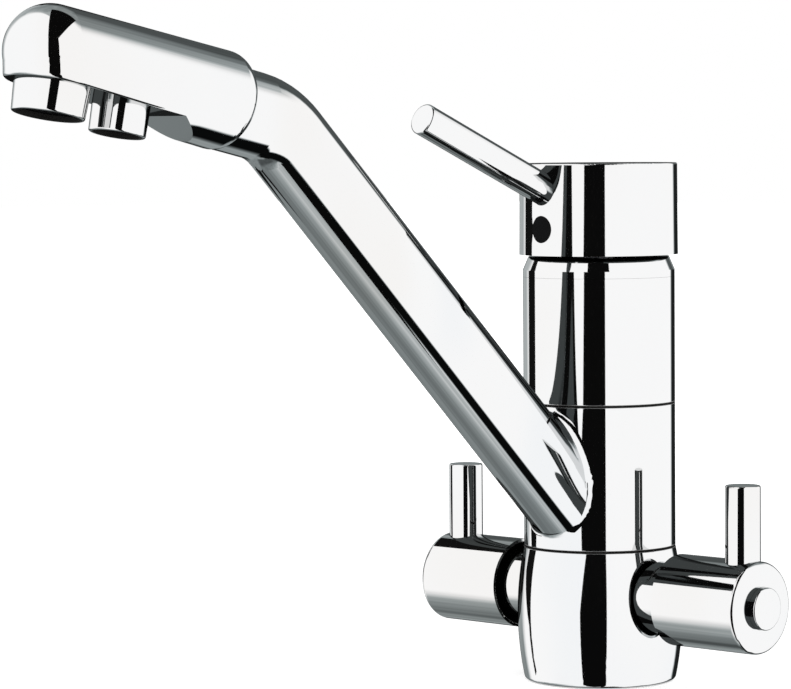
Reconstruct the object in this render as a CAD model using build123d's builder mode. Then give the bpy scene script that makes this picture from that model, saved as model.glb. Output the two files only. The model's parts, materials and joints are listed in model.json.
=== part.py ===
from build123d import *
import os
from math import acos, atan2, cos, degrees, radians, sin, sqrt, tan

os.makedirs("parts", exist_ok=True)

# A one-hole kitchen mixer with two side valves for filtered water.
# Millimetres. Origin at the centre of the base, +Z up, +X towards the spout and the lever,
# +Y towards the right-hand valve. The side valves lie along Y.

# ---------------------------------------------------------------- clearances
seam_gap = 0.3           # visible joint between turning and fixed castings
running_clearance = 0.05  # radial, shaft in bore
slip_clearance = 0.05    # radial, between pieces that are screwed or slipped together
face_clearance = 0.05    # between flat faces that turn on each other
seal_clearance = 0.05

# ---------------------------------------------------------------- body
body_radius = 24.0
barrel_height = 42.6      # to the middle of the lower seam
barrel_belly_radius = 26.15
barrel_belly_height = 19.5
barrel_foot_radius = 23.9
barrel_foot_edge = 1.2
column_radius = 17.0
ring_height = 45.45       # seam to seam
spigot_radius = 15.5
spigot_height = 8.0
groove_radius = 15.2      # floor of the grooves for the O-rings
groove_width = 2.2
o_ring_section = 0.85
o_ring_inset = 4.5        # first and last O-ring, from the ends of the ring
o_ring_spacing = 17.0     # between the two lower O-rings
glide_ring_inner = 19.0
glide_ring_outer = 22.0
glide_ring_thickness = 1.4
gasket_inner = 19.0
gasket_outer = 22.5
gasket_thickness = 2.0

stud_hole_radius = 3.35   # tapping size of an M8 thread
stud_hole_depth = 15.0
port_hole_radius = 4.5    # tapping size of an M10x1 thread
port_hole_depth = 12.0
port_circle_radius = 11.0
waterway_radius = 2.5
feed_radius = 2.0
channel_width = 7.5
channel_depth = 1.0
gallery_reach = 18.0      # foot of the inclined drillings, from the body axis
gallery_foot = 34.5
gallery_top = 50.0

# ---------------------------------------------------------------- side valves
valve_height = 27.6
valve_bore_radius = 9.5
valve_bore_floor = 12.5   # from the body axis to the bottom of the bore
collar_radius = 11.2
collar_seat = 22.5        # from the body axis to the flat that the collar sits on
collar_end = 40.0
headwork_start = 14.4
headwork_neck_radius = 6.5
headwork_neck_start = 33.0
valve_disc_radius = 7.3
valve_disc_thickness = 2.4
spindle_radius = 4.0
spindle_flange_thickness = 2.0
knob_radius = 14.3
knob_overlap = 7.2        # the knob's open end reaches this far over the collar
knob_length = 32.5
knob_wall = 1.1
knob_edge = 1.8
pin_radius = 5.5
pin_inset = 7.5           # from the knob's end face
pin_length = 29.1         # with its foot
pin_depth = 6.0           # how far the pin's foot goes into the knob
pin_edge = 0.6
plug_radius = 6.6
plug_depth = 4.0
plug_proud = 2.4
plug_edge = 0.8
knob_screw_radius = 2.0
knob_screw_head_radius = 3.6
knob_screw_head = 2.4
knob_screw_length = 10.0

# ---------------------------------------------------------------- cartridge
cartridge_radius = 17.4
base_thickness = 4.6
base_lift = 0.3           # the seals hold the base this far off its seat
seal_radius = 4.2
seal_section = 1.3
fixed_disc_radius = 13.4
fixed_disc_thickness = 4.0
moving_disc_radius = 10.4
moving_disc_thickness = 4.0
carrier_height = 6.6
carrier_key_length = 14.0
carrier_key_width = 6.0
cavity_radius = 13.7
housing_roof = 2.2
housing_neck_height = 5.9
housing_neck_radius = 15.0
rotor_neck_radius = 11.5
rotor_flange_thickness = 2.2
rotor_rise = 3.5          # of the rotor's top, above the pivot
pivot_rise = 12.25        # of the pivot, above the disc carrier
pivot_pin_radius = 1.5
foot_arm = 14.5           # from the pivot down to the foot of the stem
foot_radius = 2.6
stem_width = 6.9
stem_thickness = 6.0
shank_thickness = 3.8
stem_rise = 22.0          # of the stem's top, above the pivot
lift_angle = 25.0
nut_radius = 19.0
nut_thickness = 6.9
nut_notches = 4
nut_notch_width = 4.0
cover_rim_height = 2.15   # straight part of the cover ring
cover_bevel_rise = 4.2
cover_top_radius = 22.2
cover_hole_radius = 17.6
cover_spigot_radius = 21.4
cover_spigot_height = 2.2

# ---------------------------------------------------------------- lever
lever_angle = -5.0        # the lever rests turned this far from the spout, about Z
cap_gap = 0.6
cap_height = 28.8
cap_bottom_radius = 25.05
cap_top_radius = 24.85
cap_skirt_inner = 24.35
cap_skirt_depth = 4.2
cap_cavity_radius = 22.2
cap_ceiling = 3.0
cap_edge = 0.5
boss_radius = 9.4
boss_rise = 4.4           # of the boss, above the cap's rim
rib_half_width = 8.6
rod_radius = 4.9
rod_slope = 23.9
rod_rise = 21.2           # where the rod's axis leaves the cap, above the cap's rim
rod_start = 13.5          # inner end, from the body axis
rod_tip = 74.3            # outer end, from the body axis
rod_edge = 0.9
index_radius = 4.2
index_rise = 8.3
index_depth = 4.5
grub_radius = 2.5
grub_length = 11.0

# ---------------------------------------------------------------- spout
arm_slope = 43.2
arm_foot_drop = 0.2       # of the point where the axes meet, below the lower seam
arm_foot_radius = 13.25
arm_end_radius = 12.5
arm_bend_radius = 27.0
arm_wall = 3.4
arm_fillet = 2.6
waterway_start = 35.5     # along the arm's axis, from the body axis
mixed_port_radius = 3.5
mixed_port_rise = 27.75   # above the lower seam
head_slope = 11.8
corner_reach = 143.6      # where the axes of the arm and of its end meet
seam_reach = 160.0        # rear end of the head, along X
socket_depth = 5.0
head_rise = 1.5           # the head's axis lies this far above the end of the arm
head_rear_radius = 14.4
head_nose_radius = 13.1
head_rear_edge = 5.5
nose_reach = 226.2
flat_slope = 12.1
flat_drop = 8.94          # of the flat underside, below the nose's centre
flat_edge = 1.2           # rounding of its outer edge
flat_end_offset = 16.2    # from the nozzle's mouth back to where the flat ends
ramp_length = 11.0        # from there back to where the underside is round again
chamber_radius = 8.3

aerator_radius = 10.6     # at the flat
aerator_mouth_radius = 10.1
aerator_length = 8.4
aerator_wall = 1.2
aerator_bore = 6.8
aerator_offset = 1.3      # of its mouth, ahead of the nose's centre
nozzle_radius = 8.15
nozzle_mouth_radius = 7.95
nozzle_length = 8.35
nozzle_wall = 1.4
outlet_spacing = 24.8
outlet_edge = 0.5
insert_recess = 1.6
insert_thickness = 3.2
aerator_thread_radius = 8.6
nozzle_thread_radius = 5.0
aerator_neck = 5.0
nozzle_neck = 2.6
tube_radius = 3.0
tube_bore = 2.0
tube_turn_radius = 4.5

# ---------------------------------------------------------------- heights that follow
ring_bottom = barrel_height + seam_gap / 2
barrel_top = barrel_height - seam_gap / 2
ring_top = barrel_height + ring_height - seam_gap / 2
upper_bottom = barrel_height + ring_height + seam_gap / 2
seat_height = upper_bottom + spigot_height
base_bottom = seat_height + base_lift
disc_height = base_bottom + base_thickness
moving_disc_bottom = disc_height + fixed_disc_thickness + face_clearance
carrier_bottom = moving_disc_bottom + moving_disc_thickness
carrier_top = carrier_bottom + carrier_height
flange_bottom = carrier_top + seam_gap
flange_top = flange_bottom + rotor_flange_thickness
shoulder_height = flange_top + face_clearance + housing_roof
housing_top = shoulder_height + housing_neck_height
pivot_height = carrier_top + pivot_rise
rotor_top = pivot_height + rotor_rise
stem_top = pivot_height + stem_rise
nut_seat = shoulder_height
nut_top = nut_seat + nut_thickness
cover_joint_height = nut_top + seam_gap * 1.5
cover_bevel_height = cover_joint_height + cover_rim_height
cover_top = cover_bevel_height + cover_bevel_rise
cap_bottom = cover_top + cap_gap
cap_top = cap_bottom + cap_height
boss_bottom = cap_bottom + boss_rise
index_height = cap_bottom + index_rise
rod_cap_height = cap_bottom + rod_rise
column_bore = column_radius + running_clearance
mixed_port_height = ring_bottom + mixed_port_rise
arm_foot_height = barrel_height - arm_foot_drop
knob_start = collar_end - knob_overlap
knob_end = knob_start + knob_length
pin_distance = knob_end - pin_inset
pin_top = valve_height + knob_radius - pin_depth + pin_length
headwork_end = collar_end + 3.0
knob_hollow_end = headwork_end + 1.0
spindle_end = knob_end - pin_inset - 2.3
aerator_reach = nose_reach + aerator_offset
nozzle_reach = aerator_reach - outlet_spacing
flat_end_reach = nozzle_reach - flat_end_offset


def write(piece, name, turn=0):
    solid = piece.part.rotate(Axis.Z, turn) if turn else piece.part
    solid.label = name
    export_step(solid, f"parts/{name}.step")


# ================================================================ lower body
with BuildPart() as lower_body:
    with BuildSketch(Plane.XZ):
        with BuildLine():
            foot = (barrel_foot_radius, 0)
            ThreePointArc(foot, (barrel_belly_radius, barrel_belly_height), (body_radius, barrel_top))
            Polyline(
                (body_radius, barrel_top),
                (column_radius, barrel_top),
                (column_radius, upper_bottom),
                (spigot_radius, upper_bottom),
                (spigot_radius, seat_height),
                (0, seat_height),
                (0, 0),
                foot,
            )
        make_face()
    revolve(axis=Axis.Z)
    fillet(lower_body.edges().filter_by(GeomType.CIRCLE).group_by(Axis.Z)[0], barrel_foot_edge)
    # grooves for the O-rings, the glide ring and the base gasket
    first_o_ring = ring_bottom + o_ring_inset
    o_ring_heights = (first_o_ring, first_o_ring + o_ring_spacing, ring_top - o_ring_inset)
    for height in o_ring_heights:
        with BuildSketch(Plane.XY.offset(height - groove_width / 2)):
            Circle(column_radius + 1)
            Circle(groove_radius, mode=Mode.SUBTRACT)
        extrude(amount=groove_width, mode=Mode.SUBTRACT)
    with BuildSketch(Plane.XY.offset(barrel_top - glide_ring_thickness + seam_gap - face_clearance)):
        Circle(glide_ring_outer + slip_clearance)
        Circle(glide_ring_inner - slip_clearance, mode=Mode.SUBTRACT)
    extrude(amount=glide_ring_thickness, mode=Mode.SUBTRACT)
    with BuildSketch(Plane.XY):
        Circle(gasket_outer + slip_clearance)
        Circle(gasket_inner - slip_clearance, mode=Mode.SUBTRACT)
    extrude(amount=gasket_thickness, mode=Mode.SUBTRACT)
    # open channels around the column, so that water reaches the spout at any angle
    filtered_height = (o_ring_heights[0] + o_ring_heights[1]) / 2
    for height in (filtered_height, mixed_port_height):
        with BuildSketch(Plane.XY.offset(height - channel_width / 2)):
            Circle(column_radius + 1)
            Circle(column_radius - channel_depth, mode=Mode.SUBTRACT)
        extrude(amount=channel_width, mode=Mode.SUBTRACT)
    # side bores for the valves, each with a flat that the collar sits on
    for side in (1, -1):
        wall = Plane(origin=(0, 0, valve_height), x_dir=(1, 0, 0), z_dir=(0, side, 0))
        with BuildSketch(wall.offset(valve_bore_floor)):
            Circle(valve_bore_radius)
        extrude(amount=body_radius, mode=Mode.SUBTRACT)
        with BuildSketch(wall.offset(collar_seat)):
            Circle(collar_radius + slip_clearance)
        extrude(amount=body_radius, mode=Mode.SUBTRACT)
    # underside: fixing stud in the middle, four hose ports around it
    with Locations(Plane(origin=(0, 0, 0), z_dir=(0, 0, -1))):
        Hole(stud_hole_radius, stud_hole_depth)
        with PolarLocations(port_circle_radius, 4, start_angle=45):
            Hole(port_hole_radius, port_hole_depth)
    # hot and cold waterways up to the cartridge
    port_offset = port_circle_radius * cos(radians(45))
    with BuildSketch(Plane.XY.offset(port_hole_depth)):
        with Locations((-port_offset, port_offset), (-port_offset, -port_offset)):
            Circle(waterway_radius)
    extrude(amount=seat_height, mode=Mode.SUBTRACT)
    # filtered water: each of the other two ports feeds the floor of its valve bore
    with BuildSketch(Plane.XY.offset(port_hole_depth)):
        with Locations((port_offset, port_offset), (port_offset, -port_offset)):
            Circle(waterway_radius)
    extrude(amount=valve_height - port_hole_depth, mode=Mode.SUBTRACT)
    for side in (1, -1):
        feed = Plane(origin=(port_offset, 0, valve_height - 3), x_dir=(1, 0, 0), z_dir=(0, side, 0))
        with BuildSketch(feed.offset(port_offset)):
            Circle(feed_radius)
        extrude(amount=valve_bore_floor, mode=Mode.SUBTRACT)
        # and an inclined drilling takes it from the bore to the middle of the column
        rise = Vector(0, -side * gallery_reach, gallery_top - gallery_foot)
        with BuildSketch(Plane(origin=(0, side * gallery_reach, gallery_foot), x_dir=(1, 0, 0), z_dir=rise)):
            Circle(feed_radius)
        extrude(amount=rise.length, mode=Mode.SUBTRACT)
    # up the middle, and out to the lower channel
    with BuildSketch(Plane.XY.offset(gallery_top - waterway_radius)):
        Circle(waterway_radius)
    extrude(amount=filtered_height - gallery_top + 2 * waterway_radius, mode=Mode.SUBTRACT)
    with BuildSketch(Plane.YZ):
        with Locations((0, filtered_height)):
            Circle(feed_radius)
    extrude(amount=2 * column_radius, mode=Mode.SUBTRACT)
    # mixed water: down from the cartridge and out to the upper channel
    with BuildSketch(Plane.XY.offset(mixed_port_height - mixed_port_radius)):
        with Locations((port_offset, 0)):
            Circle(waterway_radius)
    extrude(amount=seat_height, mode=Mode.SUBTRACT)
    with BuildSketch(Plane.YZ.offset(port_offset)):
        with Locations((0, mixed_port_height)):
            Circle(mixed_port_radius)
    extrude(amount=2 * column_radius, mode=Mode.SUBTRACT)
write(lower_body, "lower_body")

with BuildPart() as base_gasket:
    with BuildSketch():
        Circle(gasket_outer)
        Circle(gasket_inner, mode=Mode.SUBTRACT)
    extrude(amount=gasket_thickness)
write(base_gasket, "base_gasket")

with BuildPart() as column_o_rings:
    for height in o_ring_heights:
        with BuildSketch(Plane.XZ):
            with Locations((groove_radius + seal_clearance + o_ring_section, height)):
                Circle(o_ring_section)
        revolve(axis=Axis.Z)
write(column_o_rings, "column_o_rings")

glide_rings = {
    "lower_glide_ring": barrel_top + seam_gap - face_clearance - glide_ring_thickness,
    "upper_glide_ring": upper_bottom - seam_gap + face_clearance,
}
for name, height in glide_rings.items():
    with BuildPart() as glide_ring:
        with BuildSketch(Plane.XY.offset(height)):
            Circle(glide_ring_outer)
            Circle(glide_ring_inner, mode=Mode.SUBTRACT)
        extrude(amount=glide_ring_thickness)
    write(glide_ring, name)

# ================================================================ upper body
upper_top = cover_joint_height - face_clearance
cartridge_bore = cartridge_radius + 0.2
with BuildPart() as upper_body:
    with BuildSketch(Plane.XZ):
        with BuildLine():
            Polyline(
                (spigot_radius + slip_clearance, upper_bottom),
                (body_radius, upper_bottom),
                (body_radius, upper_top),
                (cover_spigot_radius, upper_top),
                (cover_spigot_radius, upper_top + cover_spigot_height),
                (nut_radius + slip_clearance, upper_top + cover_spigot_height),
                (nut_radius + slip_clearance, nut_seat - 1),
                (cartridge_bore, nut_seat - 1),
                (cartridge_bore, seat_height),
                (spigot_radius + slip_clearance, seat_height),
                close=True,
            )
        make_face()
    revolve(axis=Axis.Z)
    with BuildSketch(Plane.XY.offset(upper_bottom)):
        Circle(glide_ring_outer + slip_clearance)
        Circle(glide_ring_inner - slip_clearance, mode=Mode.SUBTRACT)
    extrude(amount=glide_ring_thickness - seam_gap + 2 * face_clearance, mode=Mode.SUBTRACT)
write(upper_body, "upper_body")

with BuildPart() as cover_ring:
    with BuildSketch(Plane.XZ):
        with BuildLine():
            Polyline(
                (cover_spigot_radius + slip_clearance, cover_joint_height),
                (body_radius, cover_joint_height),
                (body_radius, cover_bevel_height),
                (cover_top_radius, cover_top),
                (cover_hole_radius, cover_top),
                (cover_hole_radius, cover_top - 1.5),
                (cover_spigot_radius + slip_clearance, upper_top + cover_spigot_height + 0.6),
                close=True,
            )
        make_face()
    revolve(axis=Axis.Z)
write(cover_ring, "cover_ring")

# ================================================================ cartridge
with BuildPart() as cartridge_nut:
    with BuildSketch(Plane.XY.offset(nut_seat)):
        Circle(nut_radius)
        Circle(housing_neck_radius + slip_clearance, mode=Mode.SUBTRACT)
    extrude(amount=nut_top - nut_seat)
    with BuildSketch(Plane.XY.offset(nut_top)):
        with PolarLocations(nut_radius, nut_notches):
            Rectangle(nut_notch_width, nut_notch_width)
    extrude(amount=-2.5, mode=Mode.SUBTRACT)
write(cartridge_nut, "cartridge_nut")

port_pattern = ((-port_offset, port_offset), (-port_offset, -port_offset), (port_offset, 0))
with BuildPart() as cartridge_base:
    with BuildSketch(Plane.XY.offset(base_bottom)):
        Circle(cartridge_radius)
        with Locations(*port_pattern):
            Circle(waterway_radius, mode=Mode.SUBTRACT)
    extrude(amount=base_thickness)
    with BuildSketch(Plane.XY.offset(base_bottom)):
        with Locations(*port_pattern):
            Circle(seal_radius + seal_section + slip_clearance)
    extrude(amount=seal_section * 2 - base_lift, mode=Mode.SUBTRACT)
write(cartridge_base, "cartridge_base")

with BuildPart() as cartridge_seals:
    with BuildSketch(Plane.XY.offset(seat_height + seal_clearance)):
        with Locations(*port_pattern):
            Circle(seal_radius + seal_section)
            Circle(seal_radius - seal_section / 2, mode=Mode.SUBTRACT)
    extrude(amount=seal_section * 2 - 2 * seal_clearance)
write(cartridge_seals, "cartridge_seals")

with BuildPart() as fixed_disc:
    with BuildSketch(Plane.XY.offset(disc_height)):
        Circle(fixed_disc_radius)
        with Locations(*port_pattern):
            Circle(waterway_radius, mode=Mode.SUBTRACT)
    extrude(amount=fixed_disc_thickness)
write(fixed_disc, "fixed_disc")

disc_travel = foot_arm * sin(radians(lift_angle))
disc_rest = -disc_travel / 2
with BuildPart() as moving_disc:
    with BuildSketch(Plane.XY.offset(moving_disc_bottom)):
        with Locations((disc_rest, 0)):
            Circle(moving_disc_radius)
    extrude(amount=moving_disc_thickness)
    with BuildSketch(Plane.XY.offset(moving_disc_bottom)):
        with Locations((disc_rest, 0)):
            SlotOverall(carrier_key_length, carrier_key_width)
    extrude(amount=moving_disc_thickness / 2, mode=Mode.SUBTRACT)
write(moving_disc, "moving_disc", lever_angle)

foot_height = pivot_height - foot_arm
pocket_play = 0.25
with BuildPart() as disc_carrier:
    with BuildSketch(Plane.XY.offset(carrier_bottom)):
        with Locations((disc_rest, 0)):
            Circle(moving_disc_radius)
    extrude(amount=carrier_height)
    # pocket for the stem's foot, which stands on the body axis at rest
    with BuildSketch(Plane.XY.offset(foot_height - foot_radius - pocket_play)):
        Rectangle(2 * (foot_radius + pocket_play), stem_width + 2 * pocket_play)
    extrude(amount=foot_arm, mode=Mode.SUBTRACT)
write(disc_carrier, "disc_carrier", lever_angle)

with BuildPart() as cartridge_housing:
    with BuildSketch(Plane.XZ):
        with BuildLine():
            Polyline(
                (cavity_radius, disc_height),
                (cartridge_radius, disc_height),
                (cartridge_radius, shoulder_height),
                (housing_neck_radius, shoulder_height),
                (housing_neck_radius, housing_top),
                (rotor_neck_radius + running_clearance, housing_top),
                (rotor_neck_radius + running_clearance, flange_top + face_clearance),
                (cavity_radius, flange_top + face_clearance),
                close=True,
            )
        make_face()
    revolve(axis=Axis.Z)
write(cartridge_housing, "cartridge_housing")

slot_front = foot_arm * tan(radians(lift_angle)) + shank_thickness / 2 + 1.0
slot_back = -(stem_thickness / 2 / cos(radians(lift_angle)) + (rotor_top - pivot_height) * 0.6 + 0.3)
with BuildPart() as cartridge_rotor:
    with BuildSketch(Plane.XY.offset(flange_bottom)):
        Circle(cavity_radius - running_clearance)
    extrude(amount=rotor_flange_thickness)
    with BuildSketch(Plane.XY.offset(flange_top)):
        Circle(rotor_neck_radius)
    extrude(amount=rotor_top - flange_top)
    with BuildSketch(Plane.XY.offset(flange_bottom)):
        with Locations(((slot_front + slot_back) / 2, 0)):
            Rectangle(slot_front - slot_back, stem_width + 0.4)
    extrude(amount=rotor_top - flange_bottom, mode=Mode.SUBTRACT)
    with BuildSketch(Plane.XZ.offset(-2 * rotor_neck_radius)):
        with Locations((0, pivot_height)):
            Circle(pivot_pin_radius + slip_clearance)
    extrude(amount=4 * rotor_neck_radius, mode=Mode.SUBTRACT)
write(cartridge_rotor, "cartridge_rotor", lever_angle)

with BuildPart() as pivot_pin:
    with BuildSketch(Plane.XZ.offset(-(rotor_neck_radius - 1))):
        with Locations((0, pivot_height)):
            Circle(pivot_pin_radius)
    extrude(amount=2 * (rotor_neck_radius - 1))
write(pivot_pin, "pivot_pin", lever_angle)

# ================================================================ lever
with BuildPart() as lever_stem:
    with BuildSketch(Plane.XZ.offset(-stem_width / 2)):
        # the broad upper part, the shank and the round foot
        with Locations((0, (pivot_height + stem_top) / 2)):
            Rectangle(stem_thickness, stem_top - pivot_height)
        with Locations((0, pivot_height)):
            Circle(stem_thickness / 2)
        with Locations((0, (pivot_height + foot_height) / 2)):
            Rectangle(shank_thickness, foot_arm)
        with Locations((0, foot_height)):
            Circle(foot_radius)
        with Locations((0, pivot_height)):
            Circle(pivot_pin_radius + running_clearance, mode=Mode.SUBTRACT)
    extrude(amount=stem_width)
write(lever_stem, "lever_stem", lever_angle)

rod_direction = Vector(cos(radians(rod_slope)), 0, sin(radians(rod_slope)))
rod_foot = Vector(body_radius + 1, 0, rod_cap_height)


def rod_point(reach):
    return rod_foot + rod_direction * ((reach - rod_foot.X) / rod_direction.X)


rod_plane = Plane(origin=rod_point(rod_start), x_dir=(0, 1, 0), z_dir=rod_direction)
rod_length = (rod_point(rod_tip) - rod_point(rod_start)).length

cap_ceiling_height = cap_top - cap_ceiling
with BuildPart() as lever_cap:
    with BuildSketch(Plane.XZ):
        with BuildLine():
            Polyline(
                (0, cap_top),
                (cap_top_radius, cap_top),
                (cap_bottom_radius, cap_bottom),
                (cap_skirt_inner, cap_bottom),
                (cap_skirt_inner, cap_bottom + cap_skirt_depth),
                (cap_cavity_radius, cap_bottom + 2 * cap_skirt_depth),
                (cap_cavity_radius, cap_ceiling_height),
                (0, cap_ceiling_height),
                close=True,
            )
        make_face()
    revolve(axis=Axis.Z)
    top_edge = lever_cap.edges().filter_by(GeomType.CIRCLE).group_by(Axis.Z)[-1]
    fillet(top_edge, cap_edge)
    # boss for the stem, and a rib that holds the rod, the index plug and the grub screw
    with BuildSketch(Plane.XY.offset(boss_bottom)):
        Circle(boss_radius)
        with Locations((cap_cavity_radius / 2 + 0.3, 0)):
            Rectangle(cap_cavity_radius + 0.6, 2 * rib_half_width)
    extrude(amount=cap_ceiling_height - boss_bottom)
    with BuildSketch(Plane.XY.offset(boss_bottom)):
        Rectangle(stem_thickness + 2 * slip_clearance, stem_width + 2 * slip_clearance)
    extrude(amount=stem_top + slip_clearance - boss_bottom, mode=Mode.SUBTRACT)
    with BuildSketch(rod_plane):
        Circle(rod_radius + slip_clearance)
    extrude(amount=rod_length, mode=Mode.SUBTRACT)
    index_plane = Plane(origin=(0, 0, index_height), x_dir=(0, 1, 0), z_dir=(1, 0, 0))
    index_floor = body_radius + 1 - index_depth
    with BuildSketch(index_plane.offset(index_floor)):
        Circle(index_radius + slip_clearance)
    extrude(amount=2 * index_depth, mode=Mode.SUBTRACT)
    with BuildSketch(index_plane):
        Circle(grub_radius + slip_clearance)
    extrude(amount=body_radius, mode=Mode.SUBTRACT)
write(lever_cap, "lever_cap", lever_angle)

with BuildPart() as lever_rod:
    with BuildSketch(rod_plane):
        Circle(rod_radius)
    extrude(amount=rod_length)
    tip_edge = lever_rod.edges().filter_by(GeomType.CIRCLE).sort_by(Axis.X)[-1]
    fillet(tip_edge, rod_edge)
write(lever_rod, "lever_rod", lever_angle)

with BuildPart() as index_plug:
    with BuildSketch(index_plane.offset(index_floor + slip_clearance)):
        Circle(index_radius)
    extrude(amount=index_depth - 0.3)
write(index_plug, "index_plug", lever_angle)

with BuildPart() as cap_grub_screw:
    with BuildSketch(index_plane.offset(stem_thickness / 2 + slip_clearance)):
        Circle(grub_radius)
    extrude(amount=grub_length)
    with BuildSketch(index_plane.offset(stem_thickness / 2 + grub_length)):
        RegularPolygon(1.4, 6)
    extrude(amount=-3, mode=Mode.SUBTRACT)
write(cap_grub_screw, "cap_grub_screw", lever_angle)

# ================================================================ side valves
for name, side in (("right", 1), ("left", -1)):
    axis_plane = Plane(origin=(0, 0, valve_height), x_dir=(1, 0, 0), z_dir=(0, side, 0))

    with BuildPart() as collar:
        with BuildSketch(axis_plane.offset(collar_seat + slip_clearance)):
            Circle(collar_radius)
            Circle(valve_bore_radius + slip_clearance, mode=Mode.SUBTRACT)
        extrude(amount=collar_end - collar_seat - slip_clearance)
        chamfer(collar.edges().filter_by(GeomType.CIRCLE).group_by(Axis.Y)[-1 if side > 0 else 0][-1], 0.4)
    write(collar, f"{name}_collar")

    cavity = valve_disc_radius + 0.2
    seat_disc_start = headwork_start + 0.3
    moving_start = seat_disc_start + valve_disc_thickness + face_clearance
    flange_start = moving_start + valve_disc_thickness
    cavity_end = flange_start + spindle_flange_thickness + 0.1
    with BuildPart() as headwork:
        with BuildSketch(axis_plane.offset(headwork_start)):
            Circle(valve_bore_radius - slip_clearance)
        extrude(amount=headwork_neck_start - headwork_start)
        with BuildSketch(axis_plane.offset(headwork_neck_start)):
            Circle(headwork_neck_radius)
        extrude(amount=headwork_end - headwork_neck_start)
        with BuildSketch(axis_plane.offset(headwork_start)):
            Circle(cavity)
        extrude(amount=cavity_end - headwork_start, mode=Mode.SUBTRACT)
        with BuildSketch(axis_plane.offset(headwork_start)):
            Circle(spindle_radius + running_clearance)
        extrude(amount=headwork_end - headwork_start, mode=Mode.SUBTRACT)
        # windows beside the spindle's flange
        with BuildSketch(Plane.XY.offset(valve_height - 2 * valve_bore_radius)):
            with Locations((0, side * (flange_start + 0.6))):
                Circle(feed_radius)
        extrude(amount=4 * valve_bore_radius, mode=Mode.SUBTRACT)
    write(headwork, f"{name}_headwork")

    with BuildPart() as seat_disc:
        with BuildSketch(axis_plane.offset(seat_disc_start)):
            Circle(valve_disc_radius)
            with Locations((3.6, 0), (-3.6, 0)):
                Circle(1.8, mode=Mode.SUBTRACT)
        extrude(amount=valve_disc_thickness)
    write(seat_disc, f"{name}_seat_disc")

    with BuildPart() as valve_disc:
        with BuildSketch(axis_plane.offset(moving_start)):
            Circle(valve_disc_radius)
            with Locations((0, 3.6), (0, -3.6)):
                Circle(1.8, mode=Mode.SUBTRACT)
        extrude(amount=valve_disc_thickness)
    write(valve_disc, f"{name}_valve_disc")

    with BuildPart() as spindle:
        with BuildSketch(axis_plane.offset(flange_start)):
            SlotOverall(2 * valve_disc_radius, 2 * spindle_radius)
        extrude(amount=spindle_flange_thickness)
        with BuildSketch(axis_plane.offset(flange_start)):
            Circle(spindle_radius)
        extrude(amount=spindle_end - flange_start)
        with BuildSketch(axis_plane.offset(spindle_end)):
            Circle(knob_screw_radius + slip_clearance)
        extrude(amount=-(knob_screw_length), mode=Mode.SUBTRACT)
    write(spindle, f"{name}_spindle")

    plug_floor = knob_end - plug_depth
    screw_seat = plug_floor - knob_screw_head - 0.4
    with BuildPart() as knob:
        with BuildSketch(axis_plane.offset(knob_start)):
            Circle(knob_radius)
        extrude(amount=knob_end - knob_start)
        outer_edge = knob.edges().filter_by(GeomType.CIRCLE).sort_by(Axis.Y)[-1 if side > 0 else 0]
        fillet(outer_edge, knob_edge)
        with BuildSketch(axis_plane.offset(knob_start)):
            Circle(knob_radius - knob_wall)
        extrude(amount=knob_hollow_end - knob_start, mode=Mode.SUBTRACT)
        with BuildSketch(axis_plane.offset(knob_hollow_end)):
            Circle(spindle_radius + slip_clearance)
        extrude(amount=spindle_end + slip_clearance - knob_hollow_end, mode=Mode.SUBTRACT)
        with BuildSketch(axis_plane.offset(spindle_end)):
            Circle(knob_screw_radius + 2 * slip_clearance)
        extrude(amount=knob_end - spindle_end, mode=Mode.SUBTRACT)
        with BuildSketch(axis_plane.offset(screw_seat)):
            Circle(knob_screw_head_radius + slip_clearance)
        extrude(amount=knob_end - screw_seat, mode=Mode.SUBTRACT)
        with BuildSketch(axis_plane.offset(plug_floor)):
            Circle(plug_radius + slip_clearance)
        extrude(amount=knob_end - plug_floor, mode=Mode.SUBTRACT)
        with BuildSketch(Plane.XY.offset(valve_height + knob_radius - pin_depth)):
            with Locations((0, side * pin_distance)):
                Circle(pin_radius + slip_clearance)
        extrude(amount=2 * pin_depth, mode=Mode.SUBTRACT)
    write(knob, f"{name}_knob")

    with BuildPart() as knob_pin:
        with BuildSketch(Plane.XY.offset(valve_height + knob_radius - pin_depth + slip_clearance)):
            with Locations((0, side * pin_distance)):
                Circle(pin_radius)
        extrude(amount=pin_top - valve_height - knob_radius + pin_depth - slip_clearance)
        fillet(knob_pin.edges().filter_by(GeomType.CIRCLE).sort_by(Axis.Z)[-1], pin_edge)
    write(knob_pin, f"{name}_pin")

    with BuildPart() as knob_screw:
        with BuildSketch(axis_plane.offset(screw_seat + slip_clearance)):
            Circle(knob_screw_head_radius)
        extrude(amount=knob_screw_head)
        with BuildSketch(axis_plane.offset(screw_seat + slip_clearance)):
            Circle(knob_screw_radius)
        extrude(amount=-(screw_seat - spindle_end + knob_screw_length - 1))
        with BuildSketch(axis_plane.offset(screw_seat + knob_screw_head + slip_clearance)):
            Rectangle(1.0, 2 * knob_screw_head_radius + 1)
        extrude(amount=-1.2, mode=Mode.SUBTRACT)
    write(knob_screw, f"{name}_knob_screw")

    with BuildPart() as end_plug:
        with BuildSketch(axis_plane.offset(plug_floor + slip_clearance)):
            Circle(plug_radius)
        extrude(amount=plug_depth + plug_proud - slip_clearance)
        plug_rim = end_plug.edges().filter_by(GeomType.CIRCLE).sort_by(Axis.Y)[-1 if side > 0 else 0]
        fillet(plug_rim, plug_edge)
    write(end_plug, f"{name}_end_plug")

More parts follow.
